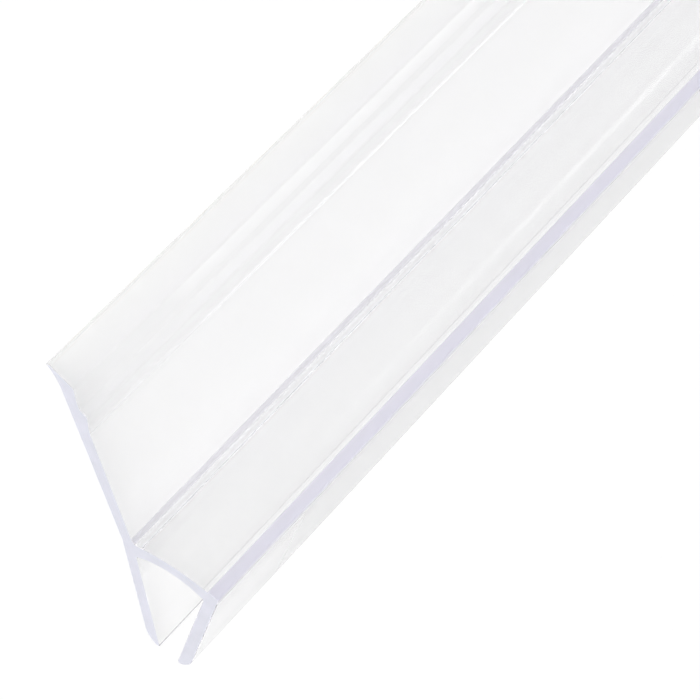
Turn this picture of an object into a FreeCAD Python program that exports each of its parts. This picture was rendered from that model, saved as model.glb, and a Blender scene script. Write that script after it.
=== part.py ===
import FreeCAD, Part
import math
import os
import Sketcher

# A clear shower door seal: one straight plastic extrusion.
# Its section is a springy clip that pushes onto the edge of a glass door, with a long
# wiping leaf that carries on from the back of the clip and ends in two ribs and a thin tip.
# The strip lies on its back along X. The section is drawn in the YZ plane:
# Y runs from the leaf's tip (minus) to the clip's mouth (plus), Z is up.
# All lengths are in millimetres and all angles in degrees.

SIZES = {
    "strip_length": 1000.0,
    # Clip: an arched web with two legs that lean in towards its mouth
    "wall": 1.28,
    "clip_width": 10.45,
    "clip_lean": 19.0,
    "web_rise": 0.85,
    "back_leg_length": 13.85,
    "back_leg_lean": 10.3,
    "front_leg_length": 14.7,
    "front_leg_lean": 14.4,
    "lip_radius": 2.4,
    # Leaf: its face that wipes is the upper one, and its back lies in the line of the clip's heel
    "leaf_length": 20.0,
    "leaf_root_thickness": 1.3,
    "leaf_thickness": 1.5,
    "tip_thickness": 0.45,
    "tip_flare": 0.65,
    "flare_length": 2.6,
    # Ribs, measured back from the leaf's tip
    "inner_rib_place": 5.15,
    "inner_rib_thickness": 1.98,
    "inner_rib_ramp": 1.75,
    "inner_rib_drop": 0.75,
    "groove_width": 0.7,
    "groove_thickness": 1.42,
    "edge_rib_place": 2.0,
    "edge_rib_thickness": 1.7,
    # Rounded corners
    "root_fillet": 0.55,
    "corner_fillet": 0.3,
    "lip_fillet": 0.25,
    "rib_fillet": 0.45,
    "groove_fillet": 0.3,
    "ramp_fillet": 5.0,
}


def make_sheet(doc):
    sheet = doc.addObject("Spreadsheet::Sheet", "Sizes")
    for row, (name, size) in enumerate(SIZES.items(), start=1):
        sheet.set(f"A{row}", name)
        sheet.set(f"B{row}", str(size))
        sheet.setAlias(f"B{row}", name)
    doc.recompute()
    return sheet


def in_sheet(formula):
    """The formula with each size's name written as the sheet's cell."""
    words = []
    for word in formula.replace("(", "( ").replace(")", " )").split():
        words.append(f"Sizes.{word}" if word in SIZES else word)
    return " ".join(words)


def value_of(sheet, formula):
    result = sheet.evalExpression(in_sheet(formula))
    return float(getattr(result, "Value", result))


class Section:
    """A closed outline in the YZ plane whose corners are held by formulas of the sizes."""

    def __init__(self, body, sheet, name):
        plane = next(f for f in body.Origin.OriginFeatures if f.Role == "YZ_Plane")
        self.sheet = sheet
        self.sketch = body.newObject("Sketcher::SketchObject", name)
        self.sketch.AttachmentSupport = [(plane, "")]
        self.sketch.MapMode = "FlatFace"
        self.start = None
        self.last = None

    def bind(self, kind, place, formula):
        size = value_of(self.sheet, formula)
        index = self.sketch.addConstraint(Sketcher.Constraint(kind, *place, size))
        self.sketch.setExpression(f"Constraints[{index}]", in_sheet(formula))

    def vector(self, corner):
        along, up = (value_of(self.sheet, formula) for formula in corner)
        return FreeCAD.Vector(along, up, 0)

    def hold(self, edge, end, corner):
        self.bind("DistanceX", (-1, 1, edge, end), corner[0])
        self.bind("DistanceY", (-1, 1, edge, end), corner[1])

    def begin(self, corner):
        self.start = corner
        self.last = (None, None, corner)

    def line(self, corner):
        edge = self.sketch.addGeometry(
            Part.LineSegment(self.vector(self.last[2]), self.vector(corner)), False
        )
        self.join(edge, 1, 2, corner)

    def arc(self, corner, radius, clockwise=False):
        """An arc of under half a turn to the next corner."""
        a, b = self.vector(self.last[2]), self.vector(corner)
        size = value_of(self.sheet, radius)
        chord = b - a
        to_centre = math.sqrt(size**2 - chord.Length**2 / 4)
        side = FreeCAD.Vector(-chord.y, chord.x, 0).normalize()
        centre = (a + b) / 2 + side * (-to_centre if clockwise else to_centre)
        ends = (b, a) if clockwise else (a, b)
        angles = [math.atan2(p.y - centre.y, p.x - centre.x) for p in ends]
        circle = Part.Circle(centre, FreeCAD.Vector(0, 0, 1), size)
        edge = self.sketch.addGeometry(Part.ArcOfCircle(circle, *angles), False)
        first, second = (2, 1) if clockwise else (1, 2)
        self.join(edge, first, second, corner)
        self.bind("Radius", (edge,), radius)

    def join(self, edge, first, second, corner):
        if self.last[0] is None:
            self.hold(edge, first, corner=self.start)
            self.first_end = (edge, first)
        else:
            self.sketch.addConstraint(
                Sketcher.Constraint("Coincident", self.last[0], self.last[1], edge, first)
            )
        if corner is self.start:
            self.sketch.addConstraint(
                Sketcher.Constraint("Coincident", edge, second, *self.first_end)
            )
        else:
            self.hold(edge, second, corner)
        self.last = (edge, second, corner)


def in_clip(across, depth):
    """A corner given across the clip from its heel and down its depth, as along and up."""
    return (
        f"( {across} ) * sin( clip_lean * 1 deg ) + ( {depth} ) * cos( clip_lean * 1 deg )",
        f"( {across} ) * cos( clip_lean * 1 deg ) - ( {depth} ) * sin( clip_lean * 1 deg )",
    )


def leg_corners(leg, from_heel):
    """The corners of one leg: its inner corner at the web, its inner tip, where its outer
    face ends and the centre of the round of its lip."""
    lean = f"{leg}_leg_lean * 1 deg"
    reach = f"( {leg}_leg_length - sqrt( 2 * lip_radius * wall - wall ^ 2 ) )"

    def corner(inward, down):
        across = f"( {inward} ) * cos( {lean} ) + ( {down} ) * sin( {lean} )"
        depth = f"( {down} ) * cos( {lean} ) - ( {inward} ) * sin( {lean} )"
        return in_clip(across if from_heel else f"clip_width - ( {across} )", depth)

    inner = f"wall * ( 1 + sin( {lean} ) ) / cos( {lean} )"
    return {
        "inner": in_clip(inner if from_heel else f"clip_width - {inner}", "wall"),
        "tip": corner("wall", f"{leg}_leg_length"),
        "end": corner("0", reach),
        "round": corner("lip_radius", reach),
    }


def draw_clip(body, sheet):
    heel = in_clip("0", "0")
    shoulder = in_clip("clip_width", "0")
    back = leg_corners("back", from_heel=True)
    front = leg_corners("front", from_heel=False)
    arch = "( clip_width ^ 2 / 4 + web_rise ^ 2 ) / ( 2 * web_rise )"
    inner_chord = (
        "( clip_width - wall * ( 1 + sin( back_leg_lean * 1 deg ) ) / cos( back_leg_lean * 1 deg )"
        " - wall * ( 1 + sin( front_leg_lean * 1 deg ) ) / cos( front_leg_lean * 1 deg ) )"
    )
    inner_arch = f"( {inner_chord} ^ 2 / 4 + web_rise ^ 2 ) / ( 2 * web_rise )"

    section = Section(body, sheet, "clip_section")
    section.begin(heel)
    section.arc(shoulder, arch, clockwise=True)
    section.line(front["end"])
    section.arc(front["tip"], "lip_radius", clockwise=True)
    section.line(front["inner"])
    section.arc(back["inner"], inner_arch)
    section.line(back["tip"])
    section.arc(back["end"], "lip_radius", clockwise=True)
    section.line(heel)
    return section.sketch


def leaf_corners():
    groove = "( inner_rib_place - inner_rib_drop )"
    return {
        "heel": in_clip("0", "0"),
        "root": ("wall / 2", "leaf_root_thickness"),
        "ramp": ("inner_rib_place + inner_rib_ramp - leaf_length", "leaf_thickness"),
        "inner_rib": ("inner_rib_place - leaf_length", "inner_rib_thickness"),
        "groove_in": (f"{groove} - leaf_length", "groove_thickness"),
        "groove_out": (f"{groove} - groove_width - leaf_length", "groove_thickness"),
        "edge_rib": ("edge_rib_place - leaf_length", "edge_rib_thickness"),
        "tip_face": ("0 - leaf_length", "tip_thickness - tip_flare"),
        "tip_back": ("0 - leaf_length", "0 - tip_flare"),
        "flare": ("flare_length - leaf_length", "0"),
    }


def draw_leaf(body, sheet):
    corners = leaf_corners()
    section = Section(body, sheet, "leaf_section")
    section.begin(corners["heel"])
    for name in ("root", "ramp", "inner_rib", "groove_in", "groove_out", "edge_rib"):
        section.line(corners[name])
    section.line(corners["tip_face"])
    section.line(corners["tip_back"])
    flare = "( flare_length ^ 2 + tip_flare ^ 2 ) / ( 2 * tip_flare )"
    section.arc(corners["flare"], flare, clockwise=True)
    section.line(corners["heel"])
    return section.sketch


def extrude(body, sketch, name):
    pad = body.newObject("PartDesign::Pad", name)
    pad.Profile = sketch
    pad.SideType = "Symmetric"
    pad.setExpression("Length", "Sizes.strip_length")
    body.Document.recompute()
    return pad


def long_edge(shape, sheet, corner):
    """The name of the lengthwise edge that lies nearest to a corner of the section."""
    along, up = (value_of(sheet, formula) for formula in corner)

    def away(index):
        ends = [v.Point for v in shape.Edges[index].Vertexes]
        if len(ends) < 2 or abs(ends[0].x - ends[1].x) < value_of(sheet, "strip_length") / 2:
            return math.inf
        return math.hypot(ends[0].y - along, ends[0].z - up)

    return f"Edge{min(range(len(shape.Edges)), key=away) + 1}"


def round_off(body, sheet, name, size, corners):
    """A fillet along the strip on the edges at the given corners."""
    base = body.Tip
    fillet = body.newObject("PartDesign::Fillet", name)
    edges = [long_edge(base.Shape, sheet, corner) for corner in corners]
    fillet.Base = (base, edges)
    fillet.setExpression("Radius", f"Sizes.{size}")
    body.Document.recompute()
    return fillet


def lay_on_back(body, sheet):
    """Turn the strip about X until the back of the leaf's tip and the round of the back lip
    both touch the floor, and centre it over the origin."""
    tip = FreeCAD.Vector(0, *(value_of(sheet, f) for f in leaf_corners()["tip_back"]))
    lip = leg_corners("back", from_heel=True)["round"]
    centre = FreeCAD.Vector(0, *(value_of(sheet, f) for f in lip))
    reach = centre - tip
    slope = math.atan2(reach.z, reach.y)
    slope -= math.asin(value_of(sheet, "lip_radius") / reach.Length)
    turn = FreeCAD.Rotation(FreeCAD.Vector(1, 0, 0), -math.degrees(slope))
    body.Placement = FreeCAD.Placement(FreeCAD.Vector(), turn)
    box = body.Shape.optimalBoundingBox(False, False)
    middle = FreeCAD.Vector(0, box.Center.y, turn.multVec(tip).z)
    body.Placement = FreeCAD.Placement(-middle, turn)


def make_strip(doc, sheet):
    body = doc.addObject("PartDesign::Body", "SealStrip")
    body.Label = "seal_strip"
    extrude(body, draw_clip(body, sheet), "Clip")
    extrude(body, draw_leaf(body, sheet), "Leaf")

    leaf = leaf_corners()
    back = leg_corners("back", from_heel=True)
    front = leg_corners("front", from_heel=False)
    shoulder = in_clip("clip_width", "0")
    root = ("0", "leaf_root_thickness")
    round_off(body, sheet, "LeafRoot", "root_fillet", [root])
    round_off(body, sheet, "ClipCorners", "corner_fillet", [shoulder, back["inner"], front["inner"]])
    round_off(body, sheet, "LipEdges", "lip_fillet", [back["tip"], front["tip"]])
    round_off(body, sheet, "Ribs", "rib_fillet", [leaf["inner_rib"], leaf["edge_rib"]])
    round_off(body, sheet, "Groove", "groove_fillet", [leaf["groove_in"], leaf["groove_out"]])
    round_off(body, sheet, "Ramp", "ramp_fillet", [leaf["ramp"]])
    lay_on_back(body, sheet)
    return body


def check(doc, bodies):
    for item in doc.Objects:
        if {"Invalid", "Error"} & set(item.State):
            raise RuntimeError(f"{item.Label} failed: {item.State}")
    for body in bodies:
        shape = body.Shape
        if shape.isNull() or not shape.isValid() or len(shape.Solids) != 1:
            raise RuntimeError(f"{body.Label} isn't one valid solid")


def main():
    doc = FreeCAD.newDocument("ShowerSealStrip")
    sheet = make_sheet(doc)
    strip = make_strip(doc, sheet)
    doc.recompute()
    check(doc, [strip])
    os.makedirs("parts", exist_ok=True)
    strip.Shape.exportStep(f"parts/{strip.Label}.step")
    box = strip.Shape.optimalBoundingBox(False, False)
    print(f"{strip.Label}: {box.XLength:.1f} x {box.YLength:.2f} x {box.ZLength:.2f} mm")
    print(f"volume {strip.Shape.Volume / 1000:.2f} cm3, floor at {box.ZMin:.4f} mm")


main()
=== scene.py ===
import math

import bmesh
import bpy
from mathutils import Matrix, Vector


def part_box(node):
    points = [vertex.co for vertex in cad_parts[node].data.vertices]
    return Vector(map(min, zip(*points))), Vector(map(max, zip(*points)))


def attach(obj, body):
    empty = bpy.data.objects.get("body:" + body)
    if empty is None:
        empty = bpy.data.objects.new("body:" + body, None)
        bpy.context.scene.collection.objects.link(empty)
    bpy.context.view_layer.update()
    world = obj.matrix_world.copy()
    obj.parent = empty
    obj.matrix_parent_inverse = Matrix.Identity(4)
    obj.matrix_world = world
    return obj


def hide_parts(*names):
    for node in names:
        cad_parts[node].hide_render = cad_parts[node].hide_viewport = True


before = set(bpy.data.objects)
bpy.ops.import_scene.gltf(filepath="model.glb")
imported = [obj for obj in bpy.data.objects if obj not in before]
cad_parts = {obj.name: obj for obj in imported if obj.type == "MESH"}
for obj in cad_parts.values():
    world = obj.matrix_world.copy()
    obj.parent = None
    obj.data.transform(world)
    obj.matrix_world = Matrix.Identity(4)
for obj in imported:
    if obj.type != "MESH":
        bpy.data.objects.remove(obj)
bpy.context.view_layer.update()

STRIP_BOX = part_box("seal_strip")
MM = 0.001

# Material slots of the strip
SIDES, CUTS = 0, 1

# Section of the strip, in millimetres and degrees, as in the part's source
WALL = 1.28
CLIP_WIDTH = 10.45
CLIP_LEAN = 19.0
WEB_RISE = 0.85
BACK_LEG = {"length": 13.85, "lean": 10.3}
FRONT_LEG = {"length": 14.7, "lean": 14.4}
LIP_RADIUS = 2.4
LEAF_LENGTH = 20.0
LEAF_ROOT_THICKNESS = 1.3
LEAF_THICKNESS = 1.5
TIP_THICKNESS = 0.45
TIP_FLARE = 0.65
FLARE_LENGTH = 2.6
INNER_RIB = {"place": 5.15, "thickness": 1.98, "ramp": 1.75, "drop": 0.75}
GROOVE = {"width": 0.7, "thickness": 1.42}
EDGE_RIB = {"place": 2.0, "thickness": 1.7}
ROOT_FILLET = 0.55
CORNER_FILLET = 0.3
LIP_FILLET = 0.25
RIB_FILLET = 0.45
GROOVE_FILLET = 0.3
RAMP_FILLET = 5.0
CUT_BEVEL = 0.05

# How far the web leans over across its fillet on the leaf, in millimetres
WEB_LEAN_AT_ROOT = 0.02

# Straight steps in each round of the section, and the angle in degrees above which an edge stays sharp
STEPS = {"web": 48, "inner web": 40, "lip": 20, "flare": 12, "fillet": 8, "inner corner": 6, "groove": 4}
SHARP_ANGLE = 32.0

# Corners of the section painted with light and shade, laid on as haze: lighter at the web side of the root
# and at the outer edge of the shoulder, darker lavender bands at the leaf side of the root and at the
# shoulder, and a dark line at the edge of the back lip. They stand in for light trapped and bent in the
# thick corners and the round lip. Middle and reach are in millimetres, in the section as it lies. The
# share of haze is full up to the first reach and gone at the second. Of its light, sent_on goes on through
# the plastic and the rest comes back.
PAINTED_LIGHT_AND_SHADE_AT_CORNERS = {
    # Painted light: white haze that lightens the web side of the root fillet
    "web side of the root": {
        "middle": (2.6, 3.25),
        "reach": (0.28, 0.42),
        "share": 1.0,
        "colour": (1, 1, 1, 1),
        "sent_on": 0.35,
    },
    # Painted shade: a darker lavender band along the leaf side of the root
    "leaf side of the root": {
        "middle": (2.2, 2.73),
        "reach": (0.2, 0.35),
        "share": 0.95,
        "colour": (0.79, 0.78, 0.82, 1),
        "sent_on": 0.5,
    },
    # Painted shade: a darker lavender band along the shoulder, where one looks along the front leg's wall
    "shoulder": {
        "middle": (5.45, 10.75),
        "reach": (0.6, 0.7),
        "share": 0.95,
        "colour": (0.87, 0.86, 0.95, 1),
        "sent_on": 0.5,
    },
    # Painted light: a near-white rim on the outer edge of the shoulder
    "outer edge of the shoulder": {
        "middle": (5.9, 11.15),
        "reach": (0.15, 0.35),
        "share": 1.0,
        "colour": (0.99, 0.98, 1, 1),
        "sent_on": 0.5,
    },
    # Painted shade: a dark grey line along the edge of the back lip, standing in for its dark refracted
    # edge
    "edge of the back lip": {
        "middle": (16.18, 0.98),
        "reach": (0.13, 0.3),
        "share": 1.0,
        "colour": (0.55, 0.55, 0.57, 1),
        "sent_on": 0.5,
    },
}

# Haze on the rest: its colour, its share on faces that look at the camera and on slanted ones, and what it
# gains across the ribbed edge, from and to in metres across the strip
HAZE_COLOUR = (0.83, 0.83, 0.825, 1)
HAZE_SENT_ON = 0.5
SLANTED = (0.5, 1.0)
HAZE_FACING = 0.22
HAZE_GRAZING = 0.4
RIBBED_EDGE = (-0.0118, -0.0095)
HAZE_AT_TIP = 0.17

# Painted light: the legs lose haze towards a cut and show lighter there, standing in for light let in at
# the cut.
# From and to, in metres from the middle along and across the strip
PAINTED_CUT_LIGHT_ALONG = (0.484, 0.4995)
PAINTED_CUT_LIGHT_ACROSS = (0.0058, 0.007)
PAINTED_CUT_LIGHT_SHARE = 0.75

# Clear plastic, in linear colours. Its index of refraction is low, so that few faces mirror inside
TINT = (0.98, 0.982, 0.969, 1)
ROUGHNESS = 0.08
REFRACTION = 1.2
COAT = 0.35

# Light in the plastic: what is left after many bounces shows white, lamps shine through, and depth tints
TRAPPED_COLOUR = (1, 1, 1, 1)
TRAPPED_DEPTH = 5.5
LAMP_TINT = (0.95, 0.95, 0.95, 1)
DEPTH_COLOUR = (0.40, 0.33, 0.75, 1)
DEPTH_DENSITY = 18.0

# Fine marks: how often they repeat per metre along each axis, and their height in metres
DIE_LINES = (3.0, 2500.0, 2500.0)
DIE_LINE_HEIGHT = 0.000002
SAW_MARKS = (1.0, 700.0, 9000.0)
SAW_MARK_HEIGHT = 0.00001

# Sawn ends, with soft clouds from dark to light
SAWN_ROUGHNESS = 0.5
SAWN_REFRACTION = 1.5
SAWN_DARK = (0.645, 0.65, 0.72, 1)
SAWN_LIGHT = (0.69, 0.693, 0.775, 1)
SAWN_CLOUDS = 500.0
SAWN_CLOUD_RANGE = (0.3, 0.7)

# Studio, in metres and watts
FLOOR_SIZE = 6.0
FLOOR_GLOW = 0.75
FLOOR_PAINT = 0.27
SKY_TOP = 0.38
SKY_HORIZON = 0.8
LAMPS = {
    "overhead": {"place": (0.5, -0.1, 1.3), "aim": (0.45, 0, 0), "size": (1.0, 1.0), "power": 4.6},
    "front": {"place": (1.5, -0.5, 0.6), "aim": (0.45, 0, 0), "size": (0.8, 0.8), "power": 8.8},
    "bar": {"place": (-0.13, 0.64, 0.46), "aim": (-0.13, 0, 0), "size": (0.35, 0.08), "power": 0.26},
}

# Camera, fitted to the lines and the cut end in the photograph of 700 pixels a side
PICTURE_SIZE = 700
FOCAL_PIXELS = 3300.0
SENSOR_WIDTH = 36.0
NEAREST_SEEN = 0.01
CAMERA_AZIMUTH = 38.197
CAMERA_ELEVATION = 34.955
CAMERA_PLACE = Vector((0.62079, -0.18613, 0.17292))
CAMERA_RIGHT = Vector((-0.59773, 0.21634, 0.77196))


def turned(point, degrees):
    """A point turned about the origin."""
    angle = math.radians(degrees)
    along, up = point
    return (
        along * math.cos(angle) - up * math.sin(angle),
        along * math.sin(angle) + up * math.cos(angle),
    )


def in_clip(across, depth):
    """A point given across the clip from its heel and down its depth, as along and up."""
    return turned((depth, across), -CLIP_LEAN)


def arch_radius(width, rise):
    """The radius of an arc that rises by so much over its width."""
    return (width**2 / 4 + rise**2) / (2 * rise)


def arc(a, b, radius, steps, clockwise):
    """Points after a up to b on an arc of under half a turn."""
    ax, ay = a
    bx, by = b
    dx, dy = bx - ax, by - ay
    chord = math.hypot(dx, dy)
    away = math.sqrt(radius**2 - chord**2 / 4) * (-1 if clockwise else 1)
    cx, cy = (ax + bx) / 2 - dy / chord * away, (ay + by) / 2 + dx / chord * away
    start = math.atan2(ay - cy, ax - cx)
    sweep = 2 * math.asin(chord / 2 / radius) * (-1 if clockwise else 1)
    angles = [start + sweep * i / steps for i in range(1, steps + 1)]
    return [(cx + radius * math.cos(t), cy + radius * math.sin(t)) for t in angles]


def fillet(before, corner, after, radius, steps=STEPS["fillet"]):
    """The corner replaced by a round that touches both its sides."""
    a, c, b = Vector(before), Vector(corner), Vector(after)
    to_a, to_b = (a - c).normalized(), (b - c).normalized()
    half = to_a.angle(to_b) / 2
    reach = radius / math.tan(half)
    start, end = c + to_a * reach, c + to_b * reach
    clockwise = to_a.x * to_b.y - to_a.y * to_b.x > 0
    return [tuple(start)] + arc(tuple(start), tuple(end), radius, steps, clockwise)


def leg_points(leg, from_heel):
    """Where a leg meets the web inside, its inner tip, and the end and the middle of its lip's round."""
    lean = math.radians(leg["lean"])
    reach = leg["length"] - math.sqrt(2 * LIP_RADIUS * WALL - WALL**2)

    def corner(inward, down):
        across = inward * math.cos(lean) + down * math.sin(lean)
        depth = down * math.cos(lean) - inward * math.sin(lean)
        return in_clip(across if from_heel else CLIP_WIDTH - across, depth)

    inner = WALL * (1 + math.sin(lean)) / math.cos(lean)
    return {
        "inner": in_clip(inner if from_heel else CLIP_WIDTH - inner, WALL),
        "tip": corner(WALL, leg["length"]),
        "end": corner(0, reach),
        "round": corner(LIP_RADIUS, reach),
    }


def lip(leg, clockwise):
    """The round of a lip from the leg's outer face, and the small one that meets its inner face."""
    tip, end, middle = Vector(leg["tip"]), Vector(leg["end"]), Vector(leg["round"])
    face = (Vector(leg["inner"]) - tip).normalized()
    inward = Vector((-face.y, face.x))
    if inward.dot(end - tip) < 0:
        inward = -inward
    gap = tip + inward * LIP_FILLET - middle
    slant = face.dot(gap)
    slide = -slant - math.sqrt(slant**2 - gap.length_squared + (LIP_RADIUS - LIP_FILLET) ** 2)
    small = tip + face * slide + inward * LIP_FILLET
    meet = middle + (small - middle).normalized() * LIP_RADIUS
    leave = tip + face * slide
    points = [tuple(end)] + arc(tuple(end), tuple(meet), LIP_RADIUS, STEPS["lip"], clockwise)
    return points + arc(tuple(meet), tuple(leave), LIP_FILLET, STEPS["fillet"], clockwise)


def leaf_face(web_start):
    """The upper side of the leaf, from its tip over both ribs to the web."""

    def at(place, thickness):
        return (place - LEAF_LENGTH, thickness)

    groove = INNER_RIB["place"] - INNER_RIB["drop"]
    tip = at(0, TIP_THICKNESS - TIP_FLARE)
    edge_rib = at(EDGE_RIB["place"], EDGE_RIB["thickness"])
    groove_out = at(groove - GROOVE["width"], GROOVE["thickness"])
    groove_in = at(groove, GROOVE["thickness"])
    inner_rib = at(INNER_RIB["place"], INNER_RIB["thickness"])
    ramp = at(INNER_RIB["place"] + INNER_RIB["ramp"], LEAF_THICKNESS)
    root = (web_start[0] - WEB_LEAN_AT_ROOT, LEAF_ROOT_THICKNESS)
    points = [tip]
    points += fillet(tip, edge_rib, groove_out, RIB_FILLET)
    points += fillet(edge_rib, groove_out, groove_in, GROOVE_FILLET, STEPS["groove"])
    points += fillet(groove_out, groove_in, inner_rib, GROOVE_FILLET, STEPS["groove"])
    points += fillet(groove_in, inner_rib, ramp, RIB_FILLET)
    points += fillet(inner_rib, ramp, root, RAMP_FILLET)
    points += fillet(ramp, root, web_start, ROOT_FILLET)
    return points


def section_outline():
    """The outline of the section, clockwise from the heel, in millimetres."""
    heel, shoulder = in_clip(0, 0), in_clip(CLIP_WIDTH, 0)
    back, front = leg_points(BACK_LEG, True), leg_points(FRONT_LEG, False)
    arch = arch_radius(CLIP_WIDTH, WEB_RISE)
    inner_arch = arch_radius(math.dist(back["inner"], front["inner"]), WEB_RISE)
    above_root = LEAF_ROOT_THICKNESS + ROOT_FILLET
    web = [p for p in arc(heel, shoulder, arch, STEPS["web"], True) if p[1] > above_root]
    inner_web = arc(front["inner"], back["inner"], inner_arch, STEPS["inner web"], False)

    flare = (FLARE_LENGTH**2 + TIP_FLARE**2) / (2 * TIP_FLARE)
    flare_start = (FLARE_LENGTH - LEAF_LENGTH, 0)
    tip_back = (-LEAF_LENGTH, -TIP_FLARE)

    # A fillet takes the place of the last two points at each end of an arc
    points = [heel, flare_start] + arc(flare_start, tip_back, flare, STEPS["flare"], False)
    points += leaf_face(web[0])
    points += web[:-2]
    points += fillet(web[-3], shoulder, front["end"], CORNER_FILLET)
    points += lip(front, True)
    points += fillet(front["tip"], front["inner"], inner_web[1], CORNER_FILLET, STEPS["inner corner"])
    points += inner_web[2:-2]
    points += fillet(inner_web[-3], back["inner"], back["tip"], CORNER_FILLET, STEPS["inner corner"])
    points += lip(back, False)[::-1]
    return points, tip_back, back["round"]


def lying_section():
    """The outline turned until leaf tip and back lip touch the floor, in metres."""
    points, tip, centre = section_outline()
    reach = Vector(centre) - Vector(tip)
    slope = math.atan2(reach.y, reach.x) - math.asin(LIP_RADIUS / reach.length)
    laid = [turned(p, -math.degrees(slope)) for p in points]
    floor = turned(tip, -math.degrees(slope))[1]
    middle = (min(p[0] for p in laid) + max(p[0] for p in laid)) / 2
    return [Vector(((p[0] - middle) * MM, (p[1] - floor) * MM)) for p in laid]


def drawn_in(outline, distance):
    """A clockwise outline with each point moved inwards by a small distance."""
    points = []
    for i, point in enumerate(outline):
        before, after = outline[i - 1], outline[(i + 1) % len(outline)]
        run = (after - before).normalized()
        points.append(point + Vector((run.y, -run.x)) * distance)
    return points


def make_strip():
    """The section drawn out along the strip, with a fine bevel round both cuts."""
    outline = lying_section()
    bevel = CUT_BEVEL * MM
    small = drawn_in(outline, bevel)
    low, high = STRIP_BOX[0][0], STRIP_BOX[1][0]
    mesh = bpy.data.meshes.new("clear_strip")
    bm = bmesh.new()
    rings = []
    for x, section in ((low, small), (low + bevel, outline), (high - bevel, outline), (high, small)):
        rings.append([bm.verts.new((x, y, z)) for y, z in section])
    for ring, following in zip(rings, rings[1:]):
        for i, corner in enumerate(ring):
            j = (i + 1) % len(ring)
            bm.faces.new((corner, ring[j], following[j], following[i]))
    for ring in (rings[0], rings[-1]):
        cut = bm.faces.new(ring)
        cut.material_index = CUTS
    bmesh.ops.recalc_face_normals(bm, faces=bm.faces)
    bm.to_mesh(mesh)
    bm.free()
    for face in mesh.polygons:
        face.use_smooth = face.material_index == SIDES
    mesh.set_sharp_from_angle(angle=math.radians(SHARP_ANGLE))
    strip = bpy.data.objects.new("clear_strip", mesh)
    bpy.context.collection.objects.link(strip)
    return strip


class Shader:
    """A material's node tree, with short ways to add and join nodes."""

    def __init__(self, name):
        self.material = bpy.data.materials.new(name)
        self.material.use_nodes = True
        self.tree = self.material.node_tree
        self.tree.nodes.clear()
        self.out = self.add("OutputMaterial")

    def add(self, kind, **settings):
        node = self.tree.nodes.new("ShaderNode" + kind)
        for name, value in settings.items():
            if hasattr(node, name):
                setattr(node, name, value)
            else:
                node.inputs[name.replace("_", " ")].default_value = value
        return node

    def join(self, source, target):
        self.tree.links.new(source, target)

    def work_out(self, operation, first, second):
        """The result of a sum on two values, kept from 0 to 1."""
        node = self.add("Math", operation=operation, use_clamp=True)
        self.join(first, node.inputs[0])
        self.join(second, node.inputs[1])
        return node.outputs[0]

    def spread(self, value, given, wanted):
        """The value, carried evenly from one range over to another."""
        node = self.add("MapRange")
        node.inputs["From Min"].default_value = given[0]
        node.inputs["From Max"].default_value = given[1]
        node.inputs["To Min"].default_value = wanted[0]
        node.inputs["To Max"].default_value = wanted[1]
        self.join(value, node.inputs["Value"])
        return node.outputs[0]

    def mix(self, share, first, second):
        """One shader where share is 0 and the other where it is 1."""
        node = self.add("MixShader")
        if isinstance(share, float):
            node.inputs[0].default_value = share
        else:
            self.join(share, node.inputs[0])
        self.join(first.outputs[0], node.inputs[1])
        self.join(second.outputs[0], node.inputs[2])
        return node


def fine_marks(shader, place, spacing, height):
    """A normal with fine marks; spacing is how often they repeat per metre along each axis."""
    stretch = shader.add("Mapping", vector_type="POINT")
    stretch.inputs["Scale"].default_value = spacing
    shader.join(place, stretch.inputs["Vector"])
    noise = shader.add("TexNoise", Scale=1.0, Detail=3.0)
    shader.join(stretch.outputs[0], noise.inputs["Vector"])
    bump = shader.add("Bump", Strength=1.0, Distance=height)
    shader.join(noise.outputs["Fac"], bump.inputs["Height"])
    return bump.outputs[0]


def plain_plastic(shader, place):
    """Clear plastic with fine lines along it from the die."""
    plastic = shader.add("BsdfPrincipled", Base_Color=TINT, Roughness=ROUGHNESS, IOR=REFRACTION)
    plastic.inputs["Transmission Weight"].default_value = 1.0
    plastic.inputs["Coat Weight"].default_value = COAT
    plastic.inputs["Coat Roughness"].default_value = ROUGHNESS
    die_lines = fine_marks(shader, place, DIE_LINES, DIE_LINE_HEIGHT)
    for name in ("Normal", "Coat Normal"):
        shader.join(die_lines, plastic.inputs[name])
    return plastic


def haze(shader, colour, share_sent_on):
    """Light scattered evenly, some of it sent back and the rest sent on."""
    sent_back = shader.add("BsdfDiffuse", Color=colour)
    sent_on = shader.add("BsdfTranslucent", Color=colour)
    return shader.mix(share_sent_on, sent_back, sent_on)


def haze_all_over(shader, across):
    """The share of haze away from the corners: more on slanted faces and on the ribbed edge."""
    facing = shader.add("LayerWeight", Blend=0.5)
    by_slant = shader.spread(facing.outputs["Facing"], SLANTED, (HAZE_FACING, HAZE_GRAZING))
    at_tip = shader.spread(across, RIBBED_EDGE, (HAZE_AT_TIP, 0.0))
    return shader.work_out("ADD", by_slant, at_tip)


def painted_light_near_cut(shader, along, across):
    """The share of haze that the legs lose towards a cut, which paints them lighter there as painted
    light.
    """
    from_middle = shader.add("Math", operation="ABSOLUTE")
    shader.join(along, from_middle.inputs[0])
    at_cut = shader.spread(from_middle.outputs[0], PAINTED_CUT_LIGHT_ALONG, (0.0, PAINTED_CUT_LIGHT_SHARE))
    in_legs = shader.spread(across, PAINTED_CUT_LIGHT_ACROSS, (0.0, 1.0))
    return shader.work_out("MULTIPLY", at_cut, in_legs)


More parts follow.
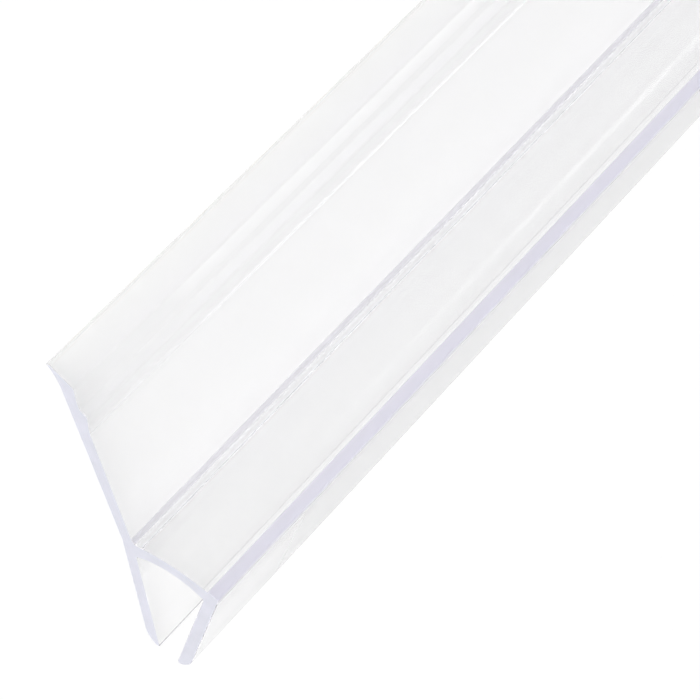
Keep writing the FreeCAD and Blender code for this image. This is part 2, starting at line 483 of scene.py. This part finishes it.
def painted_share_at_corner(shader, place, corner):
    """The share of haze that paints light and shade around a corner of the section, all along the strip.
    """
    section = shader.add("VectorMath", operation="MULTIPLY")
    section.inputs[1].default_value = (0, 1, 1)
    shader.join(place, section.inputs[0])
    away = shader.add("VectorMath", operation="DISTANCE")
    y, z = corner["middle"]
    away.inputs[1].default_value = (0, y * MM, z * MM)
    shader.join(section.outputs[0], away.inputs[0])
    reach = [distance * MM for distance in corner["reach"]]
    return shader.spread(away.outputs["Value"], reach, (corner["share"], 0.0))


def lit_through(shader, body):
    """The body as it looks with the light that stays in it, and see-through to the lamps."""
    light = shader.add("LightPath")
    deep = shader.add("Math", operation="GREATER_THAN")
    deep.inputs[1].default_value = TRAPPED_DEPTH
    shader.join(light.outputs["Ray Depth"], deep.inputs[0])
    trapped = shader.add("Emission", Color=TRAPPED_COLOUR)
    seen = shader.mix(deep.outputs[0], body, trapped)
    through = shader.add("BsdfTransparent", Color=LAMP_TINT)
    return shader.mix(light.outputs["Is Shadow Ray"], seen, through)


def clear_plastic():
    """Clear plastic with a light haze, painted light and shade at some corners and painted light on the
    legs near the cuts, both laid on through the haze, and a tint that grows with depth.
    """
    shader = Shader("clear_plastic")
    place = shader.add("TexCoord").outputs["Object"]
    split = shader.add("SeparateXYZ")
    shader.join(place, split.inputs[0])
    along, across = split.outputs["X"], split.outputs["Y"]
    plastic = plain_plastic(shader, place)
    body = shader.mix(haze_all_over(shader, across), plastic, haze(shader, HAZE_COLOUR, HAZE_SENT_ON))
    # Painted light near the cuts: the legs lose haze there and show lighter
    body = shader.mix(painted_light_near_cut(shader, along, across), body, plastic)
    # Painted light and shade at the corners: lighter and darker bands and a dark lip edge, laid on as haze
    for corner in PAINTED_LIGHT_AND_SHADE_AT_CORNERS.values():
        painted_corner = haze(shader, corner["colour"], corner["sent_on"])
        body = shader.mix(painted_share_at_corner(shader, place, corner), body, painted_corner)
    shader.join(lit_through(shader, body).outputs[0], shader.out.inputs["Surface"])
    depth = shader.add("VolumeAbsorption", Color=DEPTH_COLOUR, Density=DEPTH_DENSITY)
    shader.join(depth.outputs[0], shader.out.inputs["Volume"])
    return shader.material


def sawn_end():
    """Frosted plastic with saw marks and soft clouds."""
    shader = Shader("sawn_end")
    plastic = shader.add("BsdfPrincipled", Roughness=SAWN_ROUGHNESS, IOR=SAWN_REFRACTION)
    place = shader.add("TexCoord").outputs["Object"]
    shader.join(fine_marks(shader, place, SAW_MARKS, SAW_MARK_HEIGHT), plastic.inputs["Normal"])
    cloud = shader.add("TexNoise", Scale=SAWN_CLOUDS, Detail=2.0)
    shader.join(place, cloud.inputs["Vector"])
    level = shader.spread(cloud.outputs["Fac"], SAWN_CLOUD_RANGE, (0.0, 1.0))
    colour = shader.add("MixRGB", Color1=SAWN_DARK, Color2=SAWN_LIGHT)
    shader.join(level, colour.inputs["Fac"])
    shader.join(colour.outputs[0], plastic.inputs["Base Color"])
    shader.join(plastic.outputs[0], shader.out.inputs["Surface"])
    return shader.material


def white_floor():
    """Paint that shows near white to the camera and through the plastic, and keeps shadows."""
    shader = Shader("white_floor")
    paint = shader.add("BsdfDiffuse", Color=(FLOOR_PAINT, FLOOR_PAINT, FLOOR_PAINT, 1))
    glow = shader.add("Emission", Strength=FLOOR_GLOW)
    seen = shader.add("AddShader")
    shader.join(paint.outputs[0], seen.inputs[0])
    shader.join(glow.outputs[0], seen.inputs[1])
    light = shader.add("LightPath")
    share = light.outputs["Is Camera Ray"]
    for ray in ("Is Glossy Ray", "Is Transmission Ray"):
        share = shader.work_out("MAXIMUM", share, light.outputs[ray])
    plain = shader.add("BsdfDiffuse")
    surface = shader.mix(share, plain, seen)
    shader.join(surface.outputs[0], shader.out.inputs["Surface"])
    return shader.material


def make_floor():
    """A wide floor at the height where the strip touches it."""
    bpy.ops.mesh.primitive_plane_add(size=FLOOR_SIZE, location=(0, 0, 0))
    floor = bpy.context.object
    floor.name = "floor"
    floor.data.materials.append(white_floor())


def make_world():
    """A soft sky, brighter at the horizon than overhead."""
    world = bpy.data.worlds.new("studio")
    world.use_nodes = True
    bpy.context.scene.world = world
    nodes, links = world.node_tree.nodes, world.node_tree.links
    background = nodes["Background"]
    background.inputs["Color"].default_value = (1, 1, 1, 1)
    place = nodes.new("ShaderNodeTexCoord")
    split = nodes.new("ShaderNodeSeparateXYZ")
    level = nodes.new("ShaderNodeMapRange")
    level.inputs["To Min"].default_value = SKY_HORIZON
    level.inputs["To Max"].default_value = SKY_TOP
    links.new(place.outputs["Generated"], split.inputs[0])
    links.new(split.outputs["Z"], level.inputs["Value"])
    links.new(level.outputs[0], background.inputs["Strength"])


def add_lamp(name, place, aim, size, power):
    """A rectangular lamp turned to its aim."""
    lamp = bpy.data.lights.new(name, "AREA")
    lamp.shape = "RECTANGLE"
    lamp.size, lamp.size_y = size
    lamp.energy = power
    thing = bpy.data.objects.new(name, lamp)
    thing.location = place
    thing.rotation_euler = (Vector(aim) - Vector(place)).to_track_quat("-Z", "Y").to_euler()
    bpy.context.collection.objects.link(thing)


def add_camera():
    """A camera at the photograph's angle, which looks down on the near end of the strip."""
    azimuth, elevation = math.radians(CAMERA_AZIMUTH), math.radians(CAMERA_ELEVATION)
    ahead = Vector((
        -math.sin(azimuth) * math.cos(elevation),
        math.cos(azimuth) * math.cos(elevation),
        -math.sin(elevation),
    ))
    right = (CAMERA_RIGHT - ahead * CAMERA_RIGHT.dot(ahead)).normalized()
    turn = Matrix((right, right.cross(ahead), -ahead)).transposed()
    camera = bpy.data.cameras.new("camera")
    camera.sensor_width = SENSOR_WIDTH
    camera.lens = FOCAL_PIXELS / PICTURE_SIZE * SENSOR_WIDTH
    camera.clip_start = NEAREST_SEEN
    thing = bpy.data.objects.new("camera", camera)
    thing.matrix_world = Matrix.Translation(CAMERA_PLACE) @ turn.to_4x4()
    bpy.context.collection.objects.link(thing)
    bpy.context.scene.camera = thing


strip = make_strip()
strip.data.materials.append(clear_plastic())
strip.data.materials.append(sawn_end())
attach(strip, "root")
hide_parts("seal_strip")
make_floor()
make_world()
for name, lamp in LAMPS.items():
    add_lamp(name, **lamp)
add_camera()
bpy.context.scene.view_settings.view_transform = "Standard"
